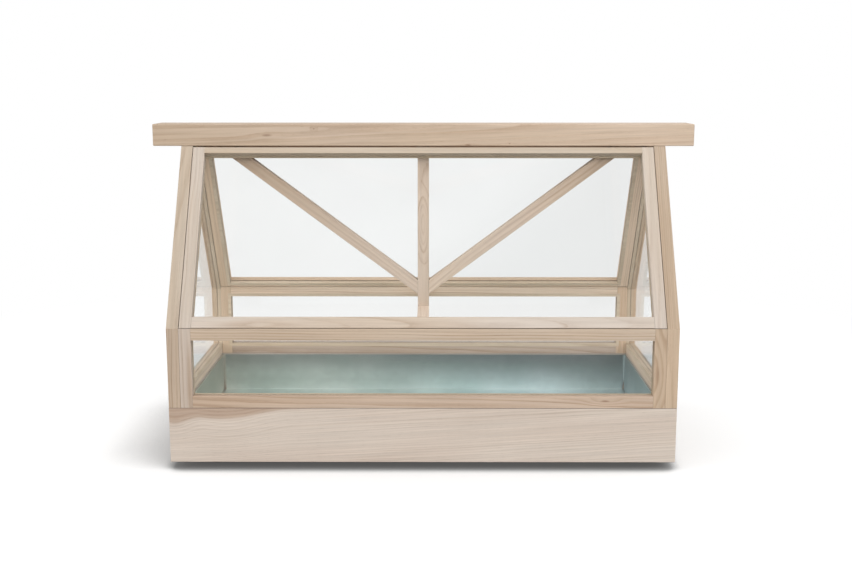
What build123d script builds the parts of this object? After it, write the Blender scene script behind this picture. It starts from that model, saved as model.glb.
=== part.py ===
from build123d import *

import os
from dataclasses import dataclass
from math import atan2, cos, sin

# A small greenhouse of pale ash and glass. A timber base on four feet holds a folded
# zinc planting tray. The glazed house stands on the base and lifts off it by the two
# ends of the ridge beam, and its two roof sashes turn on pins near the ridge.
#
# Millimetres. X runs along the ridge, Y from the front to the rear, Z up. The origin is
# on the ground, below the middle of the base.

# Driving dimensions of the whole
house_width = 734.0  # over the two gables
house_depth = 360.0  # over the front and rear frames
base_height = 81.5  # base boards
frame_height = 117.0  # upright frames, from the base to the eaves
roof_rise = 251.0  # from the eaves to the underside of the ridge beam

# Ridge beam
beam_overhang = 43.0  # past each gable, long enough to lift by
beam_depth = 62.0
beam_height = 33.0
beam_edge_radius = 1.5
roof_setback = 1.0  # the roof meets the beam's underside this far behind its faces

# Timber of the frames
member_width = 17.5  # face width of posts, rafters, stiles and rails
frame_thickness = 17.5  # through a frame, from its outer to its inner face
member_edge_radius = 0.6

# Truss under the beam
truss_width = 17.5  # king post, struts and cross tie, seen from the front
truss_thickness = 17.5
strut_foot_height = 29.5  # middle of a strut where it meets the post, above the eaves
strut_inset = 43.5  # from a gable to the middle of a strut where it meets the beam

# Glazing
glass_thickness = 3.0
glass_depth = 9.0  # from a frame's outer face to the glass
glass_bite = 5.0  # how far the glass reaches behind the frame's sight edge
glass_clearance = 0.3

# Sashes and their pivots
sash_gap = 0.8  # all round a closed sash, except under the beam
sash_ridge_gap = 1.8  # below the beam
sash_head_width = 10.0  # face of the narrow top rail
pivot_drop = 26.0  # from the sash's top edge to its pins
pivot_depth = 5.0  # from the sash's outer face to its pins
pivot_diameter = 4.0
pivot_reach = 10.0  # into the stile, and into the rafter
pivot_running_clearance = 0.08
pivot_seat_clearance = 0.02

# Dowels
dowel_diameter = 6.0
dowel_length = 20.0
dowel_clearance = 0.05
dowel_end_gap = 0.2
corner_dowel_inset = 35.0  # from the ends of the corner posts

# Base
board_thickness = 17.5
board_edge_radius = 1.0
board_dowel_inset = 20.0  # from the edges of the boards
batten_width = 60.0
batten_height = 8.5
panel_thickness = 9.0
panel_clearance = 0.3

# Pegs that locate the house on the base
peg_diameter = 8.0
peg_depth = 16.0  # into the base board
peg_height = 8.0  # above the base board
peg_spacing = 200.0
peg_clearance = 0.3
peg_end_gap = 1.0

# Feet and their screws
foot_diameter = 30.0
foot_ground_diameter = 26.0
foot_height = 12.0
foot_inset = 45.0  # from a side board to the middle of a foot
foot_recess_diameter = 12.0
foot_recess_depth = 5.0
screw_diameter = 3.6
screw_clearance = 0.05
screw_head_diameter = 8.0
screw_head_height = 2.8
screw_bite = 6.5  # into the batten

# Tray
sheet_thickness = 0.8
tray_clearance = 0.5  # between the tray's rim and the boards
tray_rim_drop = 2.0  # below the top of the boards
tray_corner_radius = 2.4
hem_height = 8.0
hem_projection = 1.0

# Levels and limits that follow
half_width = house_width / 2
half_depth = house_depth / 2
base_z = foot_height
frame_z = base_z + base_height
eave_z = frame_z + frame_height
beam_z = eave_z + roof_rise
top_z = beam_z + beam_height
ridge_y = beam_depth / 2 - roof_setback
slope = atan2(roof_rise, half_depth - ridge_y)
inner_x = half_width - frame_thickness
inner_y = half_depth - frame_thickness
beam_x = half_width + beam_overhang
lip_middle = glass_depth / 2  # middle of the solid lip outside the glass

parts = {}


def block(x, y, z):
    """Box between pairs of X, Y and Z limits."""
    size = Box(x[1] - x[0], y[1] - y[0], z[1] - z[0])
    return Pos((x[0] + x[1]) / 2, (y[0] + y[1]) / 2, (z[0] + z[1]) / 2) * size


def prism(outline, x0, x1):
    """Solid with one Y-Z outline, between two X positions."""
    face = Plane.YZ.offset(x0) * Polygon(*outline, align=None)
    return extrude(face, amount=x1 - x0, dir=(1, 0, 0))


def slab(outline, y0, y1):
    """Solid with one X-Z outline, between two Y positions."""
    face = Plane.XZ.offset(-y0) * Polygon(*outline, align=None)
    return extrude(face, amount=y1 - y0, dir=(0, 1, 0))


def rod(center, direction, diameter, length):
    """Round rod, centred on a point."""
    return Plane(origin=center, z_dir=direction) * Cylinder(diameter / 2, length)


def eased(piece, direction, radius):
    """Rounds the edges that run along a member."""
    along = Vector(*direction).normalized()
    edges = piece.edges().filter_by(lambda edge: abs(edge.tangent_at(0.5).dot(along)) > 0.9999)
    return fillet(edges, radius)


def to_rear(piece):
    """Copy of a front piece, at the rear."""
    return mirror(piece, about=Plane.XZ)


def to_right(piece):
    """Copy of a left piece, on the right."""
    return mirror(piece, about=Plane.YZ)


@dataclass(frozen=True)
class Dowel:
    """Glued dowel whose middle lies on the joint that it crosses."""

    center: tuple
    direction: tuple
    length: float = dowel_length

    def solid(self):
        return rod(self.center, self.direction, dowel_diameter, self.length)

    def hole(self):
        diameter = dowel_diameter + 2 * dowel_clearance
        return rod(self.center, self.direction, diameter, self.length + 2 * dowel_end_gap)

    def rear(self):
        x, y, z = self.center
        dx, dy, dz = self.direction
        return Dowel((x, -y, z), (dx, -dy, dz), self.length)

    def right(self):
        x, y, z = self.center
        dx, dy, dz = self.direction
        return Dowel((-x, y, z), (-dx, dy, dz), self.length)


def bored(piece, dowels):
    """The piece with the hole of each dowel cut out of it."""
    return piece - [dowel.hole() for dowel in dowels]


def roof_point(up, deep):
    """Y and Z of a point up the front roof and below its outer face."""
    y = -half_depth + up * cos(slope) + deep * sin(slope)
    z = eave_z + up * sin(slope) - deep * cos(slope)
    return y, z


def roof_level(z, deep):
    """Distance up the roof where a line below its outer face reaches a height."""
    return (z - eave_z + deep * cos(slope)) / sin(slope)


def gable_outline(inset):
    """Y-Z outline at one inset from the gable's outer edges: front half, bottom to top."""
    post_y = -half_depth + inset
    knee_up = inset * (1 - sin(slope)) / cos(slope)
    ridge_up = roof_level(beam_z - inset, inset)
    return [(post_y, frame_z + inset), roof_point(knee_up, inset), roof_point(ridge_up, inset)]


def closed(half):
    """Whole outline from its front half."""
    return half + [(-y, z) for y, z in reversed(half)]


def sticks(outer, inner):
    """Quadrilaterals between the matching sides of two outlines, mitred at the corners."""
    count = len(outer)
    following = [(i, (i + 1) % count) for i in range(count)]
    return [(outer[i], outer[j], inner[j], inner[i]) for i, j in following]


# Base boards, with the long boards over the ends of the short ones
board_y = half_depth - board_thickness
board_x = half_width - board_thickness
board_levels = (base_z + board_dowel_inset, frame_z - board_dowel_inset)
corner_y = board_x + board_thickness / 2
front_left = [Dowel((-corner_y, -board_y, z), (0, 1, 0)) for z in board_levels]
front_dowels = front_left + [dowel.right() for dowel in front_left]
rear_dowels = [dowel.rear() for dowel in front_dowels]
base_dowels = front_dowels + rear_dowels

peg_x = half_width - frame_thickness / 2
peg_places = [(side * peg_x, end * peg_spacing / 2) for side in (-1, 1) for end in (-1, 1)]


def peg(margin, below, above):
    """The locating pegs, or their holes with a margin and their own ends."""
    middle = frame_z + (above - below) / 2
    diameter = peg_diameter + 2 * margin
    return [rod((x, y, middle), (0, 0, 1), diameter, below + above) for x, y in peg_places]


peg_holes_below = peg(dowel_clearance, peg_depth, 0)
peg_holes_above = peg(peg_clearance, 0, peg_height + peg_end_gap)

front_board = block((-half_width, half_width), (-half_depth, -board_y), (base_z, frame_z))
front_board = eased(front_board, (1, 0, 0), board_edge_radius)
left_board = block((-half_width, -board_x), (-board_y, board_y), (base_z, frame_z))
left_board = eased(left_board, (0, 1, 0), board_edge_radius)
left_board = bored(left_board, base_dowels) - peg_holes_below

parts["base_front_board"] = bored(front_board, front_dowels)
parts["base_rear_board"] = to_rear(parts["base_front_board"])
parts["base_left_board"] = left_board
parts["base_right_board"] = to_right(left_board)
parts["base_dowels"] = [dowel.solid() for dowel in base_dowels] + peg(0, peg_depth, peg_height)

# Feet under the battens, each with a sunk screw
batten_z = base_z + batten_height
foot_x = board_x - foot_inset
foot_y = board_y - batten_width / 2
foot_places = [(side * foot_x, end * foot_y) for side in (-1, 1) for end in (-1, 1)]
foot_blank = Pos(0, 0, foot_height / 2) * Cone(foot_ground_diameter / 2, foot_diameter / 2, foot_height)
foot_recess = Pos(0, 0, foot_recess_depth / 2) * Cylinder(foot_recess_diameter / 2, foot_recess_depth)
screw_hole_diameter = screw_diameter + 2 * screw_clearance
foot = foot_blank - foot_recess - rod((0, 0, foot_height / 2), (0, 0, 1), screw_hole_diameter, foot_height)
head_z = foot_recess_depth - screw_head_height / 2
shank_length = foot_height + screw_bite - foot_recess_depth
shank_z = foot_recess_depth + shank_length / 2
screw = rod((0, 0, head_z), (0, 0, 1), screw_head_diameter, screw_head_height)
screw = screw + rod((0, 0, shank_z), (0, 0, 1), screw_diameter, shank_length)

batten = block((-board_x, board_x), (-board_y, -board_y + batten_width), (base_z, batten_z))
screw_holes = [rod((x, y, base_z), (0, 0, 1), screw_hole_diameter, 2 * screw_bite) for x, y in foot_places]
batten = batten - screw_holes
parts["base_battens"] = [batten, to_rear(batten)]
panel_x = board_x - panel_clearance
panel_y = board_y - panel_clearance
panel_z = batten_z + panel_thickness
parts["base_floor_panel"] = block((-panel_x, panel_x), (-panel_y, panel_y), (batten_z, panel_z))
parts["base_feet"] = [Pos(x, y, 0) * foot for x, y in foot_places]
parts["base_foot_screws"] = [Pos(x, y, 0) * screw for x, y in foot_places]

# Tray: one folded sheet with its rim hemmed outwards
hem_x = board_x - tray_clearance
hem_y = board_y - tray_clearance
wall_x = hem_x - hem_projection
wall_y = hem_y - hem_projection
rim_z = frame_z - tray_rim_drop
floor_z = panel_z + sheet_thickness


def folded_box(x, y, z0, z1, radius):
    """Box with its upright edges and its bottom edges rounded."""
    box = block((-x, x), (-y, y), (z0, z1))
    top = box.faces().sort_by(Axis.Z)[-1]
    return fillet([edge for edge in box.edges() if edge not in top.edges()], radius)


tray_blank = folded_box(wall_x, wall_y, panel_z, rim_z, tray_corner_radius)
hem = block((-hem_x, hem_x), (-hem_y, hem_y), (rim_z - hem_height, rim_z))
hem = fillet(hem.edges().filter_by(Axis.Z), tray_corner_radius + hem_projection)
hollow_x = wall_x - sheet_thickness
hollow_y = wall_y - sheet_thickness
hollow = folded_box(hollow_x, hollow_y, floor_z, rim_z + hem_height, tray_corner_radius - sheet_thickness)
parts["tray"] = tray_blank + hem - hollow

# Gables: posts and rafters mitred at the knee, with short rails at the foot and the ridge
outer = gable_outline(0)
sight = gable_outline(member_width)
rebate = closed(gable_outline(member_width - glass_bite))
pane_outline = closed(gable_outline(member_width - glass_bite + glass_clearance))
ridge_inner = roof_point(roof_level(beam_z, member_width), member_width)
gable_x = (-half_width, -inner_x)
glass_x = -half_width + glass_depth
gable_cut = prism(rebate, glass_x, -inner_x)

knee_center = roof_point(member_width / 2 * (1 - sin(slope)) / cos(slope), member_width / 2)
post_foot = -half_depth + member_width
lip_x = -half_width + lip_middle
foot_dowel = Dowel((lip_x, post_foot, frame_z + member_width / 2), (0, 1, 0))
knee_dowel = Dowel((lip_x, *knee_center), (0, cos(slope), 1 + sin(slope)))
ridge_dowel_up = roof_level(beam_z - dowel_length / 4, member_width / 2)
ridge_dowel_y = roof_point(ridge_dowel_up, member_width / 2)[0]
gable_middle_x = -half_width + frame_thickness / 2
rafter_dowel = Dowel((gable_middle_x, ridge_dowel_y, beam_z), (0, 0, 1))
crown_dowel = Dowel((gable_middle_x, 0, beam_z), (0, 0, 1))
front_gable_dowels = [foot_dowel, knee_dowel, rafter_dowel]
left_gable_dowels = front_gable_dowels + [dowel.rear() for dowel in front_gable_dowels] + [crown_dowel]

# Dowels between a gable's post and the stile beside it
lip_y = -half_depth + lip_middle
corner_levels = (frame_z + corner_dowel_inset, eave_z - corner_dowel_inset)
left_corner_dowels = [Dowel((-inner_x, lip_y, z), (1, 0, 0)) for z in corner_levels]
corner_dowels = left_corner_dowels + [dowel.right() for dowel in left_corner_dowels]

# Pins that a sash turns on
sash_x = inner_x - sash_gap
sash_top = roof_level(beam_z - sash_ridge_gap, 0)
pivot_up = sash_top - pivot_drop
pivot_y, pivot_z = roof_point(pivot_up, pivot_depth)
pin_inner_x = -sash_x + pivot_reach
pin_outer_x = -inner_x - pivot_reach


def pivot(diameter, inner, outer_end):
    """Round bar on the left pivot of the front sash, between two X positions."""
    middle = ((inner + outer_end) / 2, pivot_y, pivot_z)
    return rod(middle, (1, 0, 0), diameter, inner - outer_end)


pin = pivot(pivot_diameter, pin_inner_x, pin_outer_x)
pin_seat = pivot(pivot_diameter + 2 * pivot_seat_clearance, pin_inner_x + dowel_end_gap, -sash_x)
pin_bore = pivot(pivot_diameter + 2 * pivot_running_clearance, -inner_x, pin_outer_x - dowel_end_gap)

rafter_direction = (0, cos(slope), sin(slope))
post = prism([outer[0], outer[1], sight[1], (post_foot, frame_z)], *gable_x)
post = eased(post, (0, 0, 1), member_edge_radius) - gable_cut
rafter = prism([outer[1], outer[2], ridge_inner, sight[1]], *gable_x)
rafter = eased(rafter, rafter_direction, member_edge_radius) - gable_cut - pin_bore
foot_rail = block(gable_x, (post_foot, -post_foot), (frame_z, frame_z + member_width))
foot_rail = eased(foot_rail, (0, 1, 0), member_edge_radius) - gable_cut - peg_holes_above
crown = prism(closed([sight[2], ridge_inner]), *gable_x) - gable_cut

gable_glass = prism(pane_outline, glass_x, glass_x + glass_thickness)
gable_sight = closed(sight)
bead_x = (glass_x + glass_thickness, -inner_x)
gable_beads = [prism(quad, *bead_x) for quad in sticks(rebate, gable_sight)]

gable_bores = left_gable_dowels + left_corner_dowels + [dowel.rear() for dowel in left_corner_dowels]
left_gable = {
    "front_post": bored(post, gable_bores),
    "front_rafter": bored(rafter, gable_bores),
    "bottom_rail": bored(foot_rail, gable_bores),
    "top_rail": bored(crown, gable_bores),
    "glass": gable_glass,
}
left_gable["rear_post"] = to_rear(left_gable["front_post"])
left_gable["rear_rafter"] = to_rear(left_gable["front_rafter"])
for name, piece in left_gable.items():
    parts["left_gable_" + name] = piece
    parts["right_gable_" + name] = to_right(piece)
parts["gable_beads"] = gable_beads + [to_right(bead) for bead in gable_beads]

# Upright frames between the gables: stiles run through, rails stand between them
stile_x = inner_x - member_width
rail_levels = (frame_z + member_width / 2, eave_z - member_width / 2)
left_rail_dowels = [Dowel((-stile_x, lip_y, z), (1, 0, 0)) for z in rail_levels]
rail_dowels = left_rail_dowels + [dowel.right() for dowel in left_rail_dowels]
tie_z = eave_z - truss_width / 2
tie_dowel = Dowel((0, -inner_y, tie_z), (0, 1, 0))
frame_bores = corner_dowels + rail_dowels + [tie_dowel]

front_y = (-half_depth, -inner_y)
pane_y = -half_depth + glass_depth


def frame_rectangle(inset):
    """X-Z outline at one inset from the upright frame's outer edges."""
    x = inner_x - inset
    low = frame_z + inset
    high = eave_z - inset
    return [(-x, low), (x, low), (x, high), (-x, high)]


frame_rebate = frame_rectangle(member_width - glass_bite)
frame_cut = slab(frame_rebate, pane_y, -inner_y)
stile = block((-inner_x, -stile_x), front_y, (frame_z, eave_z))
stile = bored(eased(stile, (0, 0, 1), member_edge_radius) - frame_cut, frame_bores)
low_rail = block((-stile_x, stile_x), front_y, (frame_z, frame_z + member_width))
low_rail = bored(eased(low_rail, (1, 0, 0), member_edge_radius) - frame_cut, frame_bores)
eave_rail = block((-stile_x, stile_x), front_y, (eave_z - member_width, eave_z))
eave_rail = bored(eased(eave_rail, (1, 0, 0), member_edge_radius) - frame_cut, frame_bores)
frame_pane = frame_rectangle(member_width - glass_bite + glass_clearance)
frame_glass = slab(frame_pane, pane_y, pane_y + glass_thickness)
frame_quads = sticks(frame_rebate, frame_rectangle(member_width))
frame_beads = [slab(quad, pane_y + glass_thickness, -inner_y) for quad in frame_quads]

front_frame = {
    "left_stile": stile,
    "right_stile": to_right(stile),
    "top_rail": eave_rail,
    "bottom_rail": low_rail,
    "glass": frame_glass,
}
for name, piece in front_frame.items():
    parts["front_frame_" + name] = piece
    parts["rear_frame_" + name] = to_rear(piece)
parts["frame_beads"] = frame_beads + [to_rear(bead) for bead in frame_beads]

# Truss in the middle plane: a king post on the cross tie, and two struts to the beam
truss_y = (-truss_thickness / 2, truss_thickness / 2)
post_x = truss_width / 2
strut_reach = inner_x - strut_inset
strut_low = (-post_x, eave_z + strut_foot_height)
strut_high = (-strut_reach, beam_z)
strut_run = strut_low[0] - strut_high[0]
strut_angle = atan2(strut_high[1] - strut_low[1], strut_run)
half_upright = truss_width / 2 / cos(strut_angle)
half_level = truss_width / 2 / sin(strut_angle)
strut_outline = [
    (strut_low[0], strut_low[1] - half_upright),
    (strut_low[0], strut_low[1] + half_upright),
    (strut_high[0] + half_level, beam_z),
    (strut_high[0] - half_level, beam_z),
]
strut = slab(strut_outline, *truss_y)
strut = eased(strut, (-cos(strut_angle), 0, sin(strut_angle)), member_edge_radius)
king_post = block((-post_x, post_x), truss_y, (eave_z, beam_z))
king_post = eased(king_post, (0, 0, 1), member_edge_radius)
cross_tie = block((-post_x, post_x), (-inner_y, inner_y), (eave_z - truss_width, eave_z))
cross_tie = eased(cross_tie, (0, 1, 0), member_edge_radius)

strut_dowel_shift = dowel_length / 4 * cos(strut_angle) / sin(strut_angle)
strut_top_dowel = Dowel((-strut_reach + strut_dowel_shift, 0, beam_z), (0, 0, 1))
strut_foot_dowel = Dowel((0, 0, strut_low[1]), (1, 0, 0), truss_width + dowel_length)
post_dowels = [Dowel((0, 0, beam_z), (0, 0, 1)), Dowel((0, 0, eave_z), (0, 0, 1))]
tie_dowels = [tie_dowel, tie_dowel.rear()]
truss_dowels = [strut_top_dowel, strut_top_dowel.right(), strut_foot_dowel] + post_dowels + tie_dowels

parts["king_post"] = bored(king_post, truss_dowels)
parts["left_strut"] = bored(strut, truss_dowels)
parts["right_strut"] = to_right(parts["left_strut"])
parts["cross_tie"] = bored(cross_tie, truss_dowels)

# Ridge beam, longer than the house so that its ends are the handles
gable_dowels = left_gable_dowels + [dowel.right() for dowel in left_gable_dowels]
beam = block((-beam_x, beam_x), (-beam_depth / 2, beam_depth / 2), (beam_z, top_z))
beam = fillet(beam.edges(), beam_edge_radius)
parts["ridge_beam"] = bored(beam, gable_dowels + truss_dowels)

front_dowel_set = corner_dowels + rail_dowels
house_dowels = gable_dowels + front_dowel_set + [dowel.rear() for dowel in front_dowel_set] + truss_dowels
parts["house_dowels"] = [dowel.solid() for dowel in house_dowels]

# Sashes: cut level along the eaves, square at the top
sash_foot_z = eave_z + sash_gap
sash_rail_low = roof_level(sash_foot_z, 0) + member_width
sash_rail_high = sash_top - sash_head_width
sash_stile_x = sash_x - member_width


def sash_section(up0, up1, deep0, deep1):
    """Y-Z outline between two distances up the roof and two depths below its face."""
    return [roof_point(up0, deep0), roof_point(up1, deep0), roof_point(up1, deep1), roof_point(up0, deep1)]


def sash_foot_section(up1):
    """Y-Z outline from the level cut at the eaves to a distance up the roof."""
    foot_outer = roof_point(roof_level(sash_foot_z, 0), 0)
    foot_inner = roof_point(roof_level(sash_foot_z, frame_thickness), frame_thickness)
    return [foot_outer, roof_point(up1, 0), roof_point(up1, frame_thickness), foot_inner]


sash_dowel_ups = (sash_rail_low - member_width / 2, sash_rail_high + sash_head_width / 2)
left_sash_dowels = [Dowel((-sash_stile_x, *roof_point(up, lip_middle)), (1, 0, 0)) for up in sash_dowel_ups]
sash_dowels = left_sash_dowels + [dowel.right() for dowel in left_sash_dowels]

rebate_low = sash_rail_low - glass_bite
rebate_high = sash_rail_high + glass_bite
rebate_x = sash_stile_x + glass_bite
sash_cut = prism(sash_section(rebate_low, rebate_high, glass_depth, frame_thickness), -rebate_x, rebate_x)

sash_stile = prism(sash_foot_section(sash_top), -sash_x, -sash_stile_x)
sash_stile = eased(sash_stile, rafter_direction, member_edge_radius) - sash_cut - pin_seat
sash_stile = bored(sash_stile, sash_dowels)
sash_foot = prism(sash_foot_section(sash_rail_low), -sash_stile_x, sash_stile_x)
sash_foot = bored(eased(sash_foot, (1, 0, 0), member_edge_radius) - sash_cut, sash_dowels)
sash_head = prism(sash_section(sash_rail_high, sash_top, 0, frame_thickness), -sash_stile_x, sash_stile_x)
sash_head = bored(eased(sash_head, (1, 0, 0), member_edge_radius) - sash_cut, sash_dowels)

pane_low = rebate_low + glass_clearance
pane_high = rebate_high - glass_clearance
pane_x = rebate_x - glass_clearance
bead_depth = glass_depth + glass_thickness
sash_glass = prism(sash_section(pane_low, pane_high, glass_depth, bead_depth), -pane_x, pane_x)
rail_bead_low = prism(sash_section(rebate_low, sash_rail_low, bead_depth, frame_thickness), -rebate_x, rebate_x)
rail_bead_high = prism(sash_section(sash_rail_high, rebate_high, bead_depth, frame_thickness), -rebate_x, rebate_x)
stile_bead_outline = sash_section(sash_rail_low, sash_rail_high, bead_depth, frame_thickness)
stile_bead = prism(stile_bead_outline, -rebate_x, -sash_stile_x)

front_sash = {
    "left_stile": sash_stile,
    "right_stile": to_right(sash_stile),
    "top_rail": sash_head,
    "bottom_rail": sash_foot,
    "glass": sash_glass,
}
for name, piece in front_sash.items():
    parts["front_sash_" + name] = piece
    parts["rear_sash_" + name] = to_rear(piece)
front_sets = {
    "beads": [rail_bead_low, rail_bead_high, stile_bead, to_right(stile_bead)],
    "dowels": [dowel.solid() for dowel in sash_dowels],
    "pivot_pins": [pin, to_right(pin)],
}
for name, pieces in front_sets.items():
    parts["front_sash_" + name] = pieces
    parts["rear_sash_" + name] = [to_rear(piece) for piece in pieces]

os.makedirs("parts", exist_ok=True)
for name, piece in parts.items():
    solids = piece if isinstance(piece, list) else [piece]
    shape = Compound(children=solids) if len(solids) > 1 else solids[0]
    export_step(shape, os.path.join("parts", name + ".step"))
print(len(parts), "nodes")
print("sash pivot", round(pivot_y, 3), round(pivot_z, 3))
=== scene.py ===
"""Finishes, planting tray and studio of a small ash and glass greenhouse, built round its fixed frame."""

from __future__ import annotations

import logging
import math
import random
from collections.abc import Callable
from dataclasses import dataclass
from enum import Enum

import bmesh
import bpy
from mathutils import Matrix, Vector

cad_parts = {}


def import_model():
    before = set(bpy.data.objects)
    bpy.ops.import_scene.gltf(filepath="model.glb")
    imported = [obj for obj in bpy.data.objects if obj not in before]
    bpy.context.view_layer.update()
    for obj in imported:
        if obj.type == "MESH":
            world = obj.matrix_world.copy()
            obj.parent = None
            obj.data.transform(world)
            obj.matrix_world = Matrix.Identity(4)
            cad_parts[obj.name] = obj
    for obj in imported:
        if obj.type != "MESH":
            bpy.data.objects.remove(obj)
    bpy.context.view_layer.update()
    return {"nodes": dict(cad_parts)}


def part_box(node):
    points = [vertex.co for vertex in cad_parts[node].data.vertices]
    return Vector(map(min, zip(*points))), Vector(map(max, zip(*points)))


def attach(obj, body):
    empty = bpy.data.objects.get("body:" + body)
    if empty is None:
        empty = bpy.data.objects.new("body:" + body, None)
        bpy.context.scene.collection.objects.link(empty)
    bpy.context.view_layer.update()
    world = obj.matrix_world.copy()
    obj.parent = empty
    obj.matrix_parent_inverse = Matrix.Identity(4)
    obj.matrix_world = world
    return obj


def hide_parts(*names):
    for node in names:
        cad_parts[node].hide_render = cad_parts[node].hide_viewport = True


LOG = logging.getLogger("greenhouse")
MM = 0.001
# Rise and reach in millimetres, of the roof up to the beam and of a strut from the king post to the beam.
ROOF_SLOPE = math.atan2(251.0, 150.0)
STRUT_SLOPE = math.atan2(221.5, 297.25)
ROOF_UP, ROOF_IN = math.sin(ROOF_SLOPE), math.cos(ROOF_SLOPE)
STRUT_UP, STRUT_OUT = math.sin(STRUT_SLOPE), math.cos(STRUT_SLOPE)
# Height of the joint between base and house, in millimetres.
JOINT = 93.5
# Places on the tray that are closer than this, in millimetres, count as one.
NEAR = 0.05

Colour = tuple[float, float, float, float]
Point = tuple[float, float, float]
Span = tuple[float, float]
Material = bpy.types.Material
Node = bpy.types.Node
Piece = bpy.types.Object
Socket = bpy.types.NodeSocket
Tree = bpy.types.NodeTree


def tone(*screen: float) -> Colour:
    """Turns a colour as a screen shows it into the linear values that a shader takes.

    Args:
        *screen: Red, green and blue, from 0 to 255.

    Returns:
        The linear colour, with an alpha of 1.
    """
    parts = [value / 255 for value in screen]
    linear = [p / 12.92 if p <= 0.04045 else ((p + 0.055) / 1.055) ** 2.4 for p in parts]
    return (linear[0], linear[1], linear[2], 1.0)


class Axis(Enum):
    """Part of a vector, by its place."""

    X = 0
    Y = 1
    Z = 2


class Bench:
    """Adds nodes to one tree and joins them."""

    def __init__(self, tree: Tree) -> None:
        """Keeps the tree that the nodes go into."""
        self.tree = tree

    def feed(self, node: Node, feeds: dict) -> None:
        """Links the inputs of a node, or sets their own values.

        Args:
            node: The node.
            feeds: Output sockets or plain values for its inputs, by name or place.
        """
        for key, value in feeds.items():
            if isinstance(value, Socket):
                self.tree.links.new(value, node.inputs[key])
            else:
                node.inputs[key].default_value = value

    def put(self, kind: str, feeds: dict | None = None, **settings: object) -> Node:
        """Adds a node.

        Args:
            kind: The node's type.
            feeds: Output sockets or plain values for its inputs, by name or place.
            **settings: Options of the node itself.

        Returns:
            The new node.
        """
        node = self.tree.nodes.new(kind)
        for name, value in settings.items():
            setattr(node, name, value)
        self.feed(node, feeds or {})
        return node

    def place(self, output: str = "Object") -> Socket:
        """Gives where a point lies, in metres, or another of its coordinates."""
        return self.put("ShaderNodeTexCoord").outputs[output]

    def math(self, operation: str, *values: object) -> Socket:
        """Adds a sum of numbers and gives its result."""
        return self.put("ShaderNodeMath", dict(enumerate(values)), operation=operation).outputs[0]

    def grade(self, value: object, factor: object, base: object) -> Socket:
        """Multiplies a number by a factor and adds the result to a base."""
        return self.math("MULTIPLY_ADD", value, factor, base)

    def vector(self, operation: str, *values: object) -> Socket:
        """Adds a sum of vectors and gives its result, a number for lengths and dot products."""
        outputs = self.put("ShaderNodeVectorMath", dict(enumerate(values)), operation=operation).outputs
        return outputs["Value" if operation in ("LENGTH", "DOT_PRODUCT") else "Vector"]

    def part(self, vector: object, axis: Axis) -> Socket:
        """Takes one part of a vector."""
        return self.put("ShaderNodeSeparateXYZ", {0: vector}).outputs[axis.value]

    def stretch(self, vector: object, factors: Point) -> Socket:
        """Multiplies a vector part by part."""
        return self.vector("MULTIPLY", vector, factors)

    def scale(self, vector: object, factor: object) -> Socket:
        """Multiplies a vector or colour by one number."""
        return self.put("ShaderNodeVectorMath", {0: vector, "Scale": factor}, operation="SCALE").outputs[0]

    def noise(self, vector: object, detail: float = 2.0, scale: float = 1.0, output: str = "Fac") -> Socket:
        """Adds a cloudy pattern with finer layers in it, as one number or, by Color, as three."""
        feeds = {"Vector": vector, "Scale": scale, "Detail": detail}
        return self.put("ShaderNodeTexNoise", feeds).outputs[output]

    def ease(
        self, value: object, start: object, end: object, low: object = 0.0, high: object = 1.0
    ) -> Socket:
        """Turns a number smoothly from the range of start to end into the range of low to high."""
        feeds = {"Value": value, "From Min": start, "From Max": end, "To Min": low, "To Max": high}
        return self.put("ShaderNodeMapRange", feeds, interpolation_type="SMOOTHSTEP").outputs[0]

    def blend(self, share: object, first: object, second: object, way: str = "MIX") -> Socket:
        """Mixes two colours, of which a share of 0 gives the first and 1 the second."""
        feeds = {0: share, 6: first, 7: second}
        return self.put("ShaderNodeMix", feeds, data_type="RGBA", blend_type=way).outputs[2]

    def openness(self, reach: float, samples: int, **feeds: object) -> Socket:
        """Gives how much of the space round a point is free, up to a reach in metres."""
        feeds["Distance"] = reach
        return self.put("ShaderNodeAmbientOcclusion", feeds, samples=samples).outputs["AO"]

    def relief(self, shader: Node, height: object, strength: float, depth: float) -> None:
        """Gives a shader a fine relief from a pattern of heights, with its depth in metres."""
        feeds = {"Height": height, "Strength": strength, "Distance": depth}
        self.feed(shader, {"Normal": self.put("ShaderNodeBump", feeds).outputs[0]})

    def rays(self, *kinds: str) -> Socket:
        """Tells some kinds of light path from the rest.

        Args:
            *kinds: The kinds, such as Camera or Shadow.

        Returns:
            1 for those kinds and 0 for all others.
        """
        path = self.put("ShaderNodeLightPath").outputs
        found: object = 0.0
        for kind in kinds:
            found = self.math("MAXIMUM", path[f"Is {kind} Ray"], found)
        return found

    def either(self, share: object, first: Node, second: Node) -> Node:
        """Mixes two shaders, the first at 0 and the second at 1."""
        return self.put("ShaderNodeMixShader", {0: share, 1: first.outputs[0], 2: second.outputs[0]})

    def show(self, shader: Node) -> None:
        """Makes a shader the surface of the material."""
        output = next(node for node in self.tree.nodes if node.type == "OUTPUT_MATERIAL")
        self.feed(output, {"Surface": shader.outputs[0]})


def new_material(name: str) -> tuple[Material, Bench, Node]:
    """Starts a material with one Principled shader.

    Args:
        name: The material's name.

    Returns:
        The material, the bench for its nodes, and the shader.
    """
    material = bpy.data.materials.new(name)
    material.use_nodes = True
    material.node_tree.nodes.clear()
    bench = Bench(material.node_tree)
    shader = bench.put("ShaderNodeBsdfPrincipled")
    bench.put("ShaderNodeOutputMaterial")
    bench.show(shader)
    return material, bench, shader


def dress(piece: Piece, material: Material) -> None:
    """Gives a piece one material all over."""
    piece.data.materials.clear()
    piece.data.materials.append(material)


class Element(Enum):
    """Kind of mesh part that is picked."""

    VERT = "VERT"
    EDGE = "EDGE"
    FACE = "FACE"


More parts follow.
